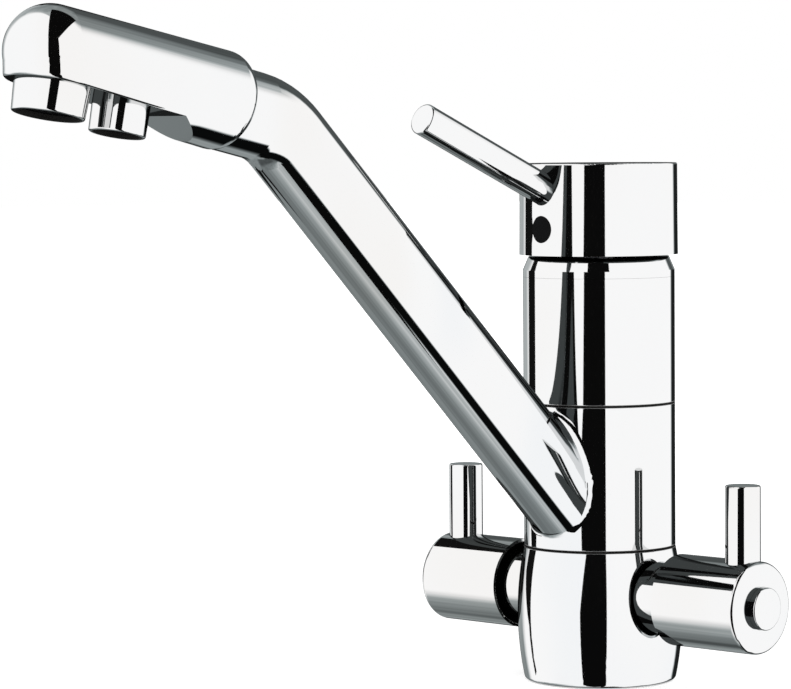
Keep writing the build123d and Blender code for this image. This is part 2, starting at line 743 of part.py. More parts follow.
# ================================================================ spout casting
arm_direction = Vector(cos(radians(arm_slope)), 0, sin(radians(arm_slope)))
end_direction = Vector(cos(radians(head_slope)), 0, sin(radians(head_slope)))
end_normal = Vector(-sin(radians(head_slope)), 0, cos(radians(head_slope)))
arm_foot = Vector(0, 0, arm_foot_height)
corner = arm_foot + arm_direction * (corner_reach / arm_direction.X)
tangent_length = arm_bend_radius * tan(radians(arm_slope - head_slope) / 2)
bend_start = corner - arm_direction * tangent_length
bend_end = corner + end_direction * tangent_length
seam_point = corner + end_direction * ((seam_reach - corner_reach) / end_direction.X)
arm_end = seam_point + end_direction * (socket_depth - slip_clearance)
bend_axis = Axis(bend_start + Vector(arm_direction.Z, 0, -arm_direction.X) * arm_bend_radius, (0, 1, 0))


def across(point, direction):
    """Plane square to the arm at a point on its axis."""
    return Plane(origin=point, x_dir=(0, 1, 0), z_dir=direction)


def arm_solid(foot_radius_here, end_radius_here, start):
    """Straight taper, bend and straight end of the arm, from a distance along its axis."""
    start_point = arm_foot + arm_direction * start
    with BuildPart() as solid:
        with BuildSketch(across(start_point, arm_direction)):
            Circle(foot_radius_here)
        with BuildSketch(across(bend_start, arm_direction)):
            Circle(end_radius_here)
        loft()
        with BuildSketch(across(bend_start, arm_direction)):
            Circle(end_radius_here)
        revolve(axis=bend_axis, revolution_arc=arm_slope - head_slope)
        with BuildSketch(across(bend_end, end_direction)):
            Circle(end_radius_here)
        extrude(amount=(arm_end - bend_end).length)
        with BuildSketch(Plane.XY.offset(ring_bottom)):
            Circle(body_radius)
        extrude(amount=-body_radius, mode=Mode.SUBTRACT)
    return solid.part


arm_outside = arm_solid(arm_foot_radius, arm_end_radius, 0)
arm_waterway = arm_solid(arm_foot_radius - arm_wall, arm_end_radius - arm_wall, waterway_start)
with BuildPart() as spout_body:
    with BuildSketch(Plane.XY.offset(ring_bottom)):
        Circle(body_radius)
    extrude(amount=ring_top - ring_bottom)
    add(arm_outside)
    junction = spout_body.edges().filter_by(GeomType.BSPLINE)
    fillet(junction, arm_fillet)
    add(arm_waterway, mode=Mode.SUBTRACT)
    with BuildSketch(Plane.XY.offset(ring_bottom)):
        Circle(column_bore)
    extrude(amount=ring_top - ring_bottom, mode=Mode.SUBTRACT)
    with BuildSketch(Plane.YZ.offset(column_radius / 2)):
        with Locations((0, mixed_port_height)):
            Circle(mixed_port_radius)
    extrude(amount=column_radius, mode=Mode.SUBTRACT)
    with BuildSketch(across(arm_foot, arm_direction)):
        Circle(tube_radius + slip_clearance)
    extrude(amount=waterway_start + 1, mode=Mode.SUBTRACT)
write(spout_body, "spout_body")

# ================================================================ spout head
head_rear = seam_point + end_normal * head_rise
nose_centre = head_rear + end_direction * ((nose_reach - head_rear.X) / end_direction.X)
head_length = (nose_centre - head_rear).length
taper = degrees(atan2(head_rear_radius - head_nose_radius, head_length))
tangent_x = head_length + head_nose_radius * sin(radians(taper))
tangent_y = head_nose_radius * cos(radians(taper))
head_plane = Plane(origin=head_rear, x_dir=end_direction, z_dir=(0, -1, 0))
flat_direction = Vector(cos(radians(flat_slope)), 0, sin(radians(flat_slope)))
outlet_direction = Vector(sin(radians(flat_slope)), 0, -cos(radians(flat_slope)))
flat_point = nose_centre - Vector(0, 0, flat_drop)


def on_flat(reach):
    return flat_point + flat_direction * ((reach - nose_reach) / flat_direction.X)


def outlet_foot(mouth_reach, length):
    """Centre of an outlet where it meets the flat, from the X of its mouth."""
    return on_flat(mouth_reach - length * outlet_direction.X)


aerator_foot = outlet_foot(aerator_reach, aerator_length)
nozzle_foot = outlet_foot(nozzle_reach, nozzle_length)
with BuildPart() as spout_head:
    with BuildSketch(head_plane):
        with BuildLine():
            rear_line = Line((0, 0), (0, head_rear_radius - head_rear_edge))
            RadiusArc(
                rear_line @ 1,
                (head_rear_edge, head_rear_radius - head_rear_edge * sin(radians(taper))),
                head_rear_edge,
            )
            Line(
                (head_rear_edge, head_rear_radius - head_rear_edge * sin(radians(taper))),
                (tangent_x, tangent_y),
            )
            nose_tip = (head_length + head_nose_radius, 0)
            nose_middle = (
                head_length + head_nose_radius * cos(radians(45)),
                head_nose_radius * sin(radians(45)),
            )
            ThreePointArc((tangent_x, tangent_y), nose_middle, nose_tip)
            Line(nose_tip, (0, 0))
        make_face()
    revolve(axis=Axis(head_rear, end_direction))
    # straight walls down to the flat, which leave the round part where the flat ends and are as
    # wide as the round part at the nose
    ramp_start = on_flat(flat_end_reach)
    ramp_depth = (head_rear - ramp_start).dot(end_normal)
    ramp_along = (ramp_start - head_rear).dot(end_direction)
    round_radius = head_rear_radius - ramp_along * tan(radians(taper))
    skirt_start = (flat_end_reach - head_rear.X) / end_direction.X
    skirt_half = sqrt(round_radius**2 - ramp_depth**2)
    skirt_angle = atan2(skirt_half, skirt_start - head_length) - acos(
        head_nose_radius / sqrt((head_length - skirt_start)**2 + skirt_half**2)
    )
    skirt_x = head_length + head_nose_radius * cos(skirt_angle)
    skirt_y = head_nose_radius * sin(skirt_angle)
    far_point = on_flat(nose_reach + 2 * head_nose_radius)
    near_point = on_flat(seam_reach)
    floor_height = near_point.Z - 2 * head_rear_radius
    with BuildPart(mode=Mode.PRIVATE) as skirt:
        with BuildSketch(Plane(origin=head_rear, x_dir=end_direction, z_dir=end_normal)):
            Polygon(
                (skirt_start, -skirt_half),
                (skirt_x, -skirt_y),
                (skirt_x, skirt_y),
                (skirt_start, skirt_half),
                align=None,
            )
            with Locations((head_length, 0)):
                Circle(head_nose_radius)
        extrude(amount=head_rear_radius, dir=(0, 0, -1))
        with BuildSketch(Plane.XZ.offset(-2 * head_rear_radius)):
            Polygon(
                (far_point.X, far_point.Z),
                (near_point.X, near_point.Z),
                (near_point.X, floor_height),
                (far_point.X, floor_height),
                align=None,
            )
        extrude(amount=4 * head_rear_radius, mode=Mode.SUBTRACT)
        skirt_floor = skirt.faces().filter_by(GeomType.PLANE)
        skirt_floor = skirt_floor.filter_by(lambda face: face.normal_at().dot(outlet_direction) > 0.999)[0]
        fillet(skirt_floor.edges().sort_by(Axis.X)[1:], flat_edge)
    add(skirt.part)
    # flat underside that carries the outlets, sinking to the round underside behind them
    ramp_end = head_rear + end_direction * (ramp_along - ramp_length) - end_normal * head_rear_radius
    with BuildSketch(Plane.XZ.offset(-2 * head_rear_radius)):
        Polygon(
            (far_point.X, far_point.Z),
            (ramp_start.X, ramp_start.Z),
            (ramp_end.X, ramp_end.Z),
            (ramp_end.X, floor_height),
            (far_point.X, floor_height),
            align=None,
        )
    extrude(amount=4 * head_rear_radius, mode=Mode.SUBTRACT)
    # socket for the arm, and the water chamber behind the outlets
    with BuildSketch(across(seam_point, end_direction)):
        Circle(arm_end_radius + slip_clearance)
    extrude(amount=socket_depth, mode=Mode.SUBTRACT)
    with BuildSketch(across(seam_point + end_normal * (head_rise + 1.7), end_direction)):
        Circle(chamber_radius)
    extrude(amount=head_length - 1, mode=Mode.SUBTRACT)
    for foot_point, radius, neck in (
        (aerator_foot, aerator_thread_radius, aerator_neck),
        (nozzle_foot, nozzle_thread_radius, nozzle_neck),
    ):
        with BuildSketch(across(foot_point, outlet_direction)):
            Circle(radius + slip_clearance)
        extrude(amount=-neck - 1, mode=Mode.SUBTRACT)
    with BuildSketch(across(nozzle_foot, outlet_direction)):
        Circle(nozzle_radius + 0.15)
    extrude(amount=nozzle_length, mode=Mode.SUBTRACT)
write(spout_head, "spout_head")

# ================================================================ filtered water tube
tube_start = arm_foot + arm_direction * ((column_bore + 2.6) / arm_direction.X)
tube_corner = seam_point + end_direction * (
    (nozzle_foot - seam_point).dot(end_direction)
    + (nozzle_foot - seam_point).dot(end_normal) * tan(radians(flat_slope - head_slope))
)
tube_end = nozzle_foot + outlet_direction * 1.0
with BuildPart() as filter_tube:
    with BuildLine():
        route = FilletPolyline(
            tube_start, corner, tube_corner, tube_end, radius=[arm_bend_radius, tube_turn_radius]
        )
    with BuildSketch(across(tube_start, arm_direction)):
        Circle(tube_radius)
        Circle(tube_bore, mode=Mode.SUBTRACT)
    sweep(path=route)
write(filter_tube, "filter_tube")

# ================================================================ outlets
def outlet_shell(name, foot_point, foot_radius, radius, length, wall, thread_radius, neck, bore_radius):
    """Chrome housing: slightly tapered ring below the flat, and a threaded neck in the head."""
    with BuildPart() as shell:
        with BuildSketch(across(foot_point, outlet_direction)):
            Circle(foot_radius)
        with BuildSketch(across(foot_point + outlet_direction * length, outlet_direction)):
            Circle(radius)
        loft()
        rim = shell.edges().filter_by(GeomType.CIRCLE).sort_by(Axis(foot_point, outlet_direction))[-1]
        fillet(rim, outlet_edge)
        with BuildSketch(across(foot_point, outlet_direction)):
            Circle(thread_radius)
        extrude(amount=-neck)
        with BuildSketch(across(foot_point + outlet_direction * length, outlet_direction)):
            Circle(radius - wall)
        extrude(amount=-(length - 1.5), mode=Mode.SUBTRACT)
        with BuildSketch(across(foot_point + outlet_direction * length, outlet_direction)):
            Circle(bore_radius)
        extrude(amount=-(length + neck), mode=Mode.SUBTRACT)
    write(shell, name)


def outlet_insert(name, foot_point, radius, length, rings):
    """Plastic insert with round jets in rings."""
    face = foot_point + outlet_direction * (length - insert_recess)
    with BuildPart() as insert:
        with BuildSketch(across(face, outlet_direction)):
            Circle(radius)
            for ring_radius, count in rings:
                with PolarLocations(ring_radius, count):
                    Circle(0.75, mode=Mode.SUBTRACT)
        extrude(amount=-insert_thickness)
    write(insert, name)


outlet_shell("aerator_housing", aerator_foot, aerator_radius, aerator_mouth_radius, aerator_length,
             aerator_wall, aerator_thread_radius, aerator_neck, aerator_bore)
outlet_shell("filter_nozzle", nozzle_foot, nozzle_radius, nozzle_mouth_radius, nozzle_length,
             nozzle_wall, nozzle_thread_radius, nozzle_neck, tube_radius + slip_clearance)
aerator_insert_radius = aerator_mouth_radius - aerator_wall - slip_clearance
filter_insert_radius = nozzle_mouth_radius - nozzle_wall - slip_clearance
outlet_insert("aerator_insert", aerator_foot, aerator_insert_radius, aerator_length,
              ((2.2, 6), (4.6, 12), (7.0, 18)))
outlet_insert("filter_insert", nozzle_foot, filter_insert_radius, nozzle_length,
              ((2.0, 6), (4.4, 12)))

with BuildPart() as aerator_gasket:
    gasket_face = aerator_foot + outlet_direction * (1.5 + slip_clearance)
    with BuildSketch(across(gasket_face, outlet_direction)):
        Circle(aerator_insert_radius)
        Circle(aerator_bore, mode=Mode.SUBTRACT)
    extrude(amount=aerator_length - insert_recess - insert_thickness - 1.5 - 2 * slip_clearance)
write(aerator_gasket, "aerator_gasket")

print("disc travel", round(disc_travel, 3), "mm")
print("nose centre", nose_centre, "aerator foot", aerator_foot, "nozzle foot", nozzle_foot)
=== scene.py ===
# Kitchen tap with two side valves: the finishes, the studio and the camera.
import json
import math
import bpy
from mathutils import Matrix, Vector

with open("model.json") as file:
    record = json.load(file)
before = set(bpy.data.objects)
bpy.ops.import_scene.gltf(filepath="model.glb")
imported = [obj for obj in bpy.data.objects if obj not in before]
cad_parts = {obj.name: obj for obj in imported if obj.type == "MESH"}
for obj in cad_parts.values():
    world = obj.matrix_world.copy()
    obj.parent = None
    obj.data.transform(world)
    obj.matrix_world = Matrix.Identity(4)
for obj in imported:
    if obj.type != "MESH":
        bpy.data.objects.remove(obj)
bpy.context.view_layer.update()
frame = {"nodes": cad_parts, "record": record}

scene = bpy.context.scene
scene.view_settings.view_transform = "Standard"
nodes = frame["nodes"]
white = (1.0, 1.0, 1.0, 1.0)
black = (0.0, 0.0, 0.0, 1.0)


class Wire:
    # an output socket; sums on it add Math nodes
    def __init__(self, graph, socket):
        self.graph = graph
        self.socket = socket

    def __add__(self, other):
        return self.graph.math("ADD", self, other)

    def __radd__(self, other):
        return self.graph.math("ADD", other, self)

    def __sub__(self, other):
        return self.graph.math("SUBTRACT", self, other)

    def __rsub__(self, other):
        return self.graph.math("SUBTRACT", other, self)

    def __mul__(self, other):
        return self.graph.math("MULTIPLY", self, other)

    def __rmul__(self, other):
        return self.graph.math("MULTIPLY", other, self)

    def __truediv__(self, other):
        return self.graph.math("DIVIDE", self, other)

    def __rtruediv__(self, other):
        return self.graph.math("DIVIDE", other, self)

    def __gt__(self, other):
        return self.graph.math("GREATER_THAN", self, other)

    def __lt__(self, other):
        return self.graph.math("LESS_THAN", self, other)

    def clamped(self):
        return self.graph.math("MINIMUM", self.graph.math("MAXIMUM", self, 0.0), 1.0)


class Graph:
    # the node tree of a material or of the world
    def __init__(self, owner):
        owner.use_nodes = True
        self.tree = owner.node_tree
        self.tree.nodes.clear()

    def add(self, kind, settings=None, sockets=None, out=0):
        node = self.tree.nodes.new(kind)
        for name, value in (settings or {}).items():
            setattr(node, name, value)
        for name, value in (sockets or {}).items():
            if isinstance(value, Wire):
                self.tree.links.new(value.socket, node.inputs[name])
            else:
                node.inputs[name].default_value = value
        return Wire(self, node.outputs[out]) if node.outputs else None

    def math(self, operation, *values):
        return self.add("ShaderNodeMath", {"operation": operation}, dict(enumerate(values)))

    def vectorMath(self, operation, *values, out="Vector"):
        return self.add("ShaderNodeVectorMath", {"operation": operation}, dict(enumerate(values)), out)

    def dot(self, vector, direction):
        return self.vectorMath("DOT_PRODUCT", vector, direction, out="Value")

    def length(self, vector):
        return self.vectorMath("LENGTH", vector, out="Value")

    def fromAxis(self, place, point, direction):
        # distance of a place from a line
        offset = self.vectorMath("SUBTRACT", place, point)
        return self.length(self.vectorMath("CROSS_PRODUCT", offset, direction))

    def smooth(self, value, start, end):
        # 0 up to the start, 1 from the end on, with soft ends
        settings = {"interpolation_type": "SMOOTHSTEP"}
        return self.add("ShaderNodeMapRange", settings, {"Value": value, "From Min": start, "From Max": end})

    def blendColours(self, factor, first, second):
        return self.add("ShaderNodeMix", {"data_type": "RGBA"}, {0: factor, 6: first, 7: second}, out=2)

    def noise(self, place, scale, detail=2.0, roughness=0.5):
        sockets = {"Vector": place, "Scale": scale, "Detail": detail, "Roughness": roughness}
        return self.add("ShaderNodeTexNoise", {}, sockets)

    def objectPlace(self):
        return self.add("ShaderNodeTexCoord", {}, {}, out="Object")

    def stretched(self, place, stretch):
        return self.add("ShaderNodeMapping", {}, {"Vector": place, "Scale": stretch})

    def lightPath(self, name):
        return self.add("ShaderNodeLightPath", {}, {}, out=name)

    def bump(self, height, distance, strength=1.0, under=None):
        sockets = {"Height": height, "Distance": distance, "Strength": strength}
        if under is not None:
            sockets["Normal"] = under
        return self.add("ShaderNodeBump", {}, sockets)


def between(first, second, mask):
    return first + (second - first) * mask


def newMaterial(name):
    material = bpy.data.materials.new(name)
    return material, Graph(material)


def finishMaterial(graph, sockets):
    shader = graph.add("ShaderNodeBsdfPrincipled", {}, sockets)
    graph.add("ShaderNodeOutputMaterial", {}, {"Surface": shader})


chrome = {
    "colour": (0.93, 0.932, 0.935, 1.0),
    "warmColour": (0.915, 0.905, 0.895, 1.0),
    "warmFrom": (0.5, 0.66),  # noise levels between which the warm tint comes in
    "coolColour": (0.89, 0.905, 0.92, 1.0),
    "coolFrom": (0.5, 0.34),
    "tintScale": 16.0,
    "tintStretch": (1.0, 1.0, 0.35),
    "roughness": 0.025,
    "cloudRoughness": 0.05,
    "cloudScale": 22.0,
    "fineCloudScale": 308.0,
    "waveScale": 60.0,
    "waveHeight": 0.00001,
}
rawMetalAndJointShade = {  # inner faces, which the plating doesn't reach; the same near-black colour is also painted shade along the joints
    "colour": (0.016, 0.015, 0.014, 1.0),
    "patchColour": (0.006, 0.0055, 0.005, 1.0),
    "metallic": 0.4,
    "roughness": 0.55,
    "roughnessSpread": 0.2,
    "grainScale": 900.0,
    "grainHeight": 0.00008,
}


def makeChrome(name, waveStrength, rawAndShadeMask=None):
    # polished chrome; the mask argument covers the raw inner faces and the painted shade lines along the joints
    material, graph = newMaterial(name)
    place = graph.objectPlace()
    cloud = graph.noise(place, chrome["cloudScale"], 3.0)
    fineCloud = graph.noise(place, chrome["fineCloudScale"])
    tint = graph.noise(graph.stretched(place, chrome["tintStretch"]), chrome["tintScale"])
    wave = graph.noise(place, chrome["waveScale"], 1.0)
    colour = graph.blendColours(graph.smooth(tint, *chrome["warmFrom"]), chrome["colour"], chrome["warmColour"])
    colour = graph.blendColours(graph.smooth(tint, *chrome["coolFrom"]), colour, chrome["coolColour"])
    roughness = chrome["roughness"] + chrome["cloudRoughness"] * cloud * fineCloud
    normal = graph.bump(wave, chrome["waveHeight"], waveStrength)
    metallic = 1.0
    if rawAndShadeMask is not None:
        # near-black on the raw inner faces, and painted shade on the joint lines
        rawAndShade = rawAndShadeMask(graph, place)
        grain = graph.noise(place, rawMetalAndJointShade["grainScale"], 3.0)
        rawAndShadeColour = graph.blendColours(grain, rawMetalAndJointShade["colour"], rawMetalAndJointShade["patchColour"])
        colour = graph.blendColours(rawAndShade, colour, rawAndShadeColour)
        rawRoughness = rawMetalAndJointShade["roughness"] + rawMetalAndJointShade["roughnessSpread"] * grain
        roughness = between(roughness, rawRoughness, rawAndShade)
        normal = graph.bump(grain * rawAndShade, rawMetalAndJointShade["grainHeight"], 1.0, normal)
        metallic = 1 - (1 - rawMetalAndJointShade["metallic"]) * rawAndShade
    finishMaterial(graph, {
        "Base Color": colour, "Metallic": metallic, "Roughness": roughness, "Normal": normal,
    })
    return material


rawAndShadeSizes = {  # metres, in the tap's own frame
    "valveAxisHeight": 0.0276,
    "knobBore": 0.01345,
    "knobBoreEnd": 0.0625,
    "capBore": 0.02455,
    "capBoreTop": 0.2065,
    "footBore": 0.0231,
    "footBoreTop": 0.0162,
    "columnRadius": 0.0234,
    "columnFoot": 0.0424,
    "bodyJointShade": (0.04205, 0.04225),  # painted shade on the body's top edge at its joint, fading in between these heights
    "valveBore": 0.0098,
    "valveBoreEnd": 0.0224,
    "sleeveBore": 0.0234,
    # painted shade line along the joints: within this radius and this half width
    "jointShadeRadius": 0.0242,
    "jointShadeHalf": (0.0003, 0.00055),
    "outletTilt": math.radians(12.1),
    "aeratorFoot": (0.22574, 0, 0.187),
    "aeratorMouth": 0.00935,
    "nozzleFoot": (0.20095, 0, 0.18169),
    "nozzleMouth": 0.00705,
    "ringFoot": 0.0426,  # joints under and over the spout's ring
    "ringTop": 0.08805,
}


def knobInside(side):
    # the bore of a side knob, its end wall left bright
    def mask(graph, place):
        across = graph.fromAxis(place, (0, 0, rawAndShadeSizes["valveAxisHeight"]), (0, 1, 0))
        along = graph.dot(place, (0, side, 0))
        return (across < rawAndShadeSizes["knobBore"]) * (along < rawAndShadeSizes["knobBoreEnd"])
    return mask


def capInside(graph, place):
    across = graph.fromAxis(place, (0, 0, 0), (0, 0, 1))
    return (across < rawAndShadeSizes["capBore"]) * (graph.dot(place, (0, 0, 1)) < rawAndShadeSizes["capBoreTop"])


def outletInside(foot, radius):
    def mask(graph, place):
        tilt = rawAndShadeSizes["outletTilt"]
        return graph.fromAxis(place, foot, (math.sin(tilt), 0, -math.cos(tilt))) < radius
    return mask


def bodyBoresAndJointShade(graph, place):
    # bores from below, the seats of the valves and the top of the casting, with painted shade along its top edge at
    # the joint
    height = graph.dot(place, (0, 0, 1))
    across = graph.fromAxis(place, (0, 0, 0), (0, 0, 1))
    fromValve = graph.fromAxis(place, (0, 0, rawAndShadeSizes["valveAxisHeight"]), (0, 1, 0))
    foot = (across < rawAndShadeSizes["footBore"]) * (height < rawAndShadeSizes["footBoreTop"])
    column = (across < rawAndShadeSizes["columnRadius"]) * (height > rawAndShadeSizes["columnFoot"])
    # painted shade on the top edge, at the joint
    joint = graph.smooth(height, *rawAndShadeSizes["bodyJointShade"])
    valve = (fromValve < rawAndShadeSizes["valveBore"]) * (across < rawAndShadeSizes["valveBoreEnd"])
    return (foot + column + joint + valve).clamped()


def sleeveBoreAndJointShade(jointHeights):
    # the bore, and a dark line of painted shade on the small broken edges along the joints
    def mask(graph, place):
        height = graph.dot(place, (0, 0, 1))
        across = graph.fromAxis(place, (0, 0, 0), (0, 0, 1))
        dark = across < rawAndShadeSizes["sleeveBore"]
        for jointHeight in jointHeights:
            # painted shade along this joint
            offset = graph.math("ABSOLUTE", height - jointHeight)
            near = 1 - graph.smooth(offset, *rawAndShadeSizes["jointShadeHalf"])
            dark = dark + near * (across < rawAndShadeSizes["jointShadeRadius"])
        return dark.clamped()
    return mask


aeratorInside = outletInside(rawAndShadeSizes["aeratorFoot"], rawAndShadeSizes["aeratorMouth"])
nozzleInside = outletInside(rawAndShadeSizes["nozzleFoot"], rawAndShadeSizes["nozzleMouth"])
chromeMaterials = {  # castings wave a little more than turned pieces
    "lower_body": makeChrome("chromeBarrel", 0.6, bodyBoresAndJointShade),
    "upper_body": makeChrome("chromeSleeve", 0.45, sleeveBoreAndJointShade([rawAndShadeSizes["ringTop"]])),
    "spout_body": makeChrome("chromeSpout", 0.6, sleeveBoreAndJointShade([rawAndShadeSizes["ringFoot"], rawAndShadeSizes["ringTop"]])),
    "spout_head": makeChrome("chromeHead", 0.6),
    "cover_ring": makeChrome("chromeTurned", 0.2),
    "lever_cap": makeChrome("chromeCap", 0.3, capInside),
    "aerator_housing": makeChrome("chromeAerator", 0.2, aeratorInside),
    "filter_nozzle": makeChrome("chromeNozzle", 0.2, nozzleInside),
    "right_knob": makeChrome("chromeKnobRight", 0.25, knobInside(1)),
    "left_knob": makeChrome("chromeKnobLeft", 0.25, knobInside(-1)),
}


def turnedLines(graph, place, axis, pitch):
    # fine rings left by a lathe tool, uneven in depth
    rings = graph.math("SINE", graph.dot(place, axis) * (2 * math.pi / pitch))
    stretch = tuple(400.0 * abs(part) + 4.0 for part in axis)  # changes fast along the axis, slowly around it
    return rings * 0.5 * graph.noise(graph.stretched(place, stretch), 1.0)


def makeBrass(name, axis):
    look = {
        "colour": (0.62, 0.43, 0.17, 1.0), "tarnish": (0.36, 0.21, 0.07, 1.0),
        "patchScale": 260.0, "patchFrom": (0.48, 0.68), "speckScale": 2600.0, "speckFrom": (0.66, 0.74),
        "patchShare": 0.75, "speckShare": 0.4, "pitch": 0.00035, "ringHeight": 0.000012,
        "roughness": 0.24, "patchRoughness": 0.2, "ringRoughness": 0.08,
    }
    material, graph = newMaterial(name)
    place = graph.objectPlace()
    patches = graph.smooth(graph.noise(place, look["patchScale"], 5.0, 0.62), *look["patchFrom"])
    specks = graph.smooth(graph.noise(place, look["speckScale"]), *look["speckFrom"])
    rings = turnedLines(graph, place, axis, look["pitch"])
    dull = (patches * look["patchShare"] + specks * look["speckShare"]).clamped()
    finishMaterial(graph, {
        "Base Color": graph.blendColours(dull, look["colour"], look["tarnish"]),
        "Metallic": 1.0,
        "Roughness": look["roughness"] + look["patchRoughness"] * patches + look["ringRoughness"] * rings,
        "Normal": graph.bump(rings, look["ringHeight"], 0.8),
    })
    return material


def makeSteel(name):
    look = {
        "colour": (0.58, 0.58, 0.59, 1.0), "streakColour": (0.44, 0.44, 0.46, 1.0),
        "streak": (30.0, 30.0, 1800.0), "streakHeight": 0.000008, "smearScale": 120.0,
        "roughness": 0.26, "smearRoughness": 0.16,
    }
    material, graph = newMaterial(name)
    place = graph.objectPlace()
    streaks = graph.noise(graph.stretched(place, look["streak"]), 1.0, 4.0)
    smears = graph.noise(place, look["smearScale"], 3.0)
    finishMaterial(graph, {
        "Base Color": graph.blendColours(streaks, look["colour"], look["streakColour"]),
        "Metallic": 1.0,
        "Roughness": look["roughness"] + look["smearRoughness"] * streaks * smears,
        "Normal": graph.bump(streaks, look["streakHeight"], 0.7),
    })
    return material


def makeCeramic(name):
    look = {
        "colour": (0.86, 0.85, 0.80, 1.0), "speckColour": (0.62, 0.58, 0.5, 1.0),
        "speckScale": 3200.0, "speckFrom": (0.64, 0.72), "speckShare": 0.5, "cloudScale": 180.0, "cloudShare": 0.18,
        "lapping": (900.0, 900.0, 60.0), "lappingHeight": 0.000006, "roughness": 0.12, "lappingRoughness": 0.16,
        "coat": 0.3, "coatRoughness": 0.08,
    }
    material, graph = newMaterial(name)
    place = graph.objectPlace()
    specks = graph.smooth(graph.noise(place, look["speckScale"]), *look["speckFrom"])
    cloud = graph.noise(place, look["cloudScale"], 4.0)
    lapping = graph.noise(graph.stretched(place, look["lapping"]), 1.0, 3.0)
    dirt = (specks * look["speckShare"] + cloud * look["cloudShare"]).clamped()
    finishMaterial(graph, {
        "Base Color": graph.blendColours(dirt, look["colour"], look["speckColour"]),
        "Roughness": look["roughness"] + look["lappingRoughness"] * lapping * cloud,
        "Coat Weight": look["coat"],
        "Coat Roughness": look["coatRoughness"],
        "Normal": graph.bump(lapping, look["lappingHeight"], 0.5),
    })
    return material


moulding = {  # what all the moulded pieces share
    "patchFrom": (0.42, 0.7), "patchRoughness": 0.14, "grainRoughness": 0.1, "grainStrength": 0.8,
    "glowRadius": (0.002, 0.002, 0.002),
}


def makeMoulded(name, look):
    # moulded plastic or rubber: grain, soft mottling and dull patches
    material, graph = newMaterial(name)
    place = graph.objectPlace()
    grain = graph.noise(place, look["grainScale"], 3.0, 0.6)
    mottle = graph.noise(graph.stretched(place, look["flow"]), 1.0, 4.0, 0.55)
    patches = graph.smooth(mottle, *moulding["patchFrom"])
    spread = moulding["patchRoughness"] * (patches - 0.5) + moulding["grainRoughness"] * (grain - 0.5)
    finishMaterial(graph, {
        "Base Color": graph.blendColours(patches, look["colour"], look["patchColour"]),
        "Roughness": look["roughness"] + spread,
        "Specular IOR Level": look["specular"],
        "Subsurface Weight": look.get("glow", 0.0),
        "Subsurface Radius": moulding["glowRadius"],
        "Normal": graph.bump(grain, look["grainHeight"], moulding["grainStrength"]),
    })
    return material


mouldedLooks = {
    "nylon": {
        "colour": (0.79, 0.78, 0.74, 1.0), "patchColour": (0.70, 0.68, 0.61, 1.0), "roughness": 0.46,
        "specular": 0.5, "grainScale": 2400.0, "grainHeight": 0.00002, "flow": (90.0, 90.0, 30.0), "glow": 0.15,
    },
    "dark_plastic": {
        "colour": (0.003, 0.003, 0.0035, 1.0), "patchColour": (0.006, 0.006, 0.007, 1.0), "roughness": 0.5,
        "specular": 0.05, "grainScale": 3000.0, "grainHeight": 0.00002, "flow": (220.0, 220.0, 220.0),
    },
    "rubber": {
        "colour": (0.012, 0.012, 0.012, 1.0), "patchColour": (0.03, 0.029, 0.028, 1.0), "roughness": 0.74,
        "specular": 0.3, "grainScale": 1800.0, "grainHeight": 0.00003, "flow": (140.0, 140.0, 140.0),
    },
    "tube": {
        "colour": (0.74, 0.79, 0.84, 1.0), "patchColour": (0.66, 0.72, 0.79, 1.0), "roughness": 0.3,
        "specular": 0.5, "grainScale": 900.0, "grainHeight": 0.00001, "flow": (60.0, 700.0, 60.0), "glow": 0.25,
    },
}
innerMaterials = {slot: makeMoulded(slot + "Finish", look) for slot, look in mouldedLooks.items()}
innerMaterials["steel"] = makeSteel("steelFinish")
innerMaterials["ceramic"] = makeCeramic("ceramicFinish")
innerMaterials["brass"] = makeBrass("brassFinish", (0, 1, 0))
brassUpright = makeBrass("brassUprightFinish", (0, 0, 1))

slotOf = {row["node"]: row["material_slot"] for row in frame["record"]["subparts"]}
for nodeName, nodeObject in nodes.items():
    if slotOf[nodeName] == "chrome":
        material = chromeMaterials.get(nodeName, chromeMaterials["cover_ring"])
    elif nodeName == "cartridge_nut":
        material = brassUpright
    else:
        material = innerMaterials[slotOf[nodeName]]
    nodeObject.data.materials.clear()
    nodeObject.data.materials.append(material)
print("finishes are on", len(nodes), "nodes")

floorLook = {
    "half": 6.0,
    "height": -0.0003,  # just clear of the base
    "colour": (0.86, 0.86, 0.86, 1.0),
    "nearGlow": 0.5,  # what the camera sees on top of the lit floor, near the tap; 1 further off
    "glowFrom": (0.3, 0.9),
}


def makeStagePiece(name, corners, material):
    # one flat face, which belongs to the studio and not to the tap
    mesh = bpy.data.meshes.new(name)
    mesh.from_pydata(corners, [], [tuple(range(len(corners)))])
    mesh.materials.append(material)
    flat = bpy.data.objects.new(name, mesh)
    scene.collection.objects.link(flat)
    return flat


def makeFloor(look):
    material, graph = newMaterial("floorFinish")
    away = graph.smooth(graph.length(graph.objectPlace()), *look["glowFrom"])
    share = graph.lightPath("Is Camera Ray") * between(look["nearGlow"], 1.0, away)
    diffuse = graph.add("ShaderNodeBsdfDiffuse", {}, {"Color": look["colour"]})
    glow = graph.add("ShaderNodeEmission", {}, {"Color": graph.blendColours(share, black, white)})
    top = graph.add("ShaderNodeAddShader", {}, {0: diffuse, 1: glow})
    # seen through from below, so that the underside of the tap shows
    under = graph.add("ShaderNodeNewGeometry", {}, {}, out="Backfacing")
    clear = graph.add("ShaderNodeBsdfTransparent")
    surface = graph.add("ShaderNodeMixShader", {}, {0: under, 1: top, 2: clear})
    graph.add("ShaderNodeOutputMaterial", {}, {"Surface": surface})
    half, height = look["half"], look["height"]
    corners = [(-half, -half, height), (half, -half, height), (half, half, height), (-half, half, height)]
    floor = makeStagePiece("floor", corners, material)
    floor.visible_glossy = False


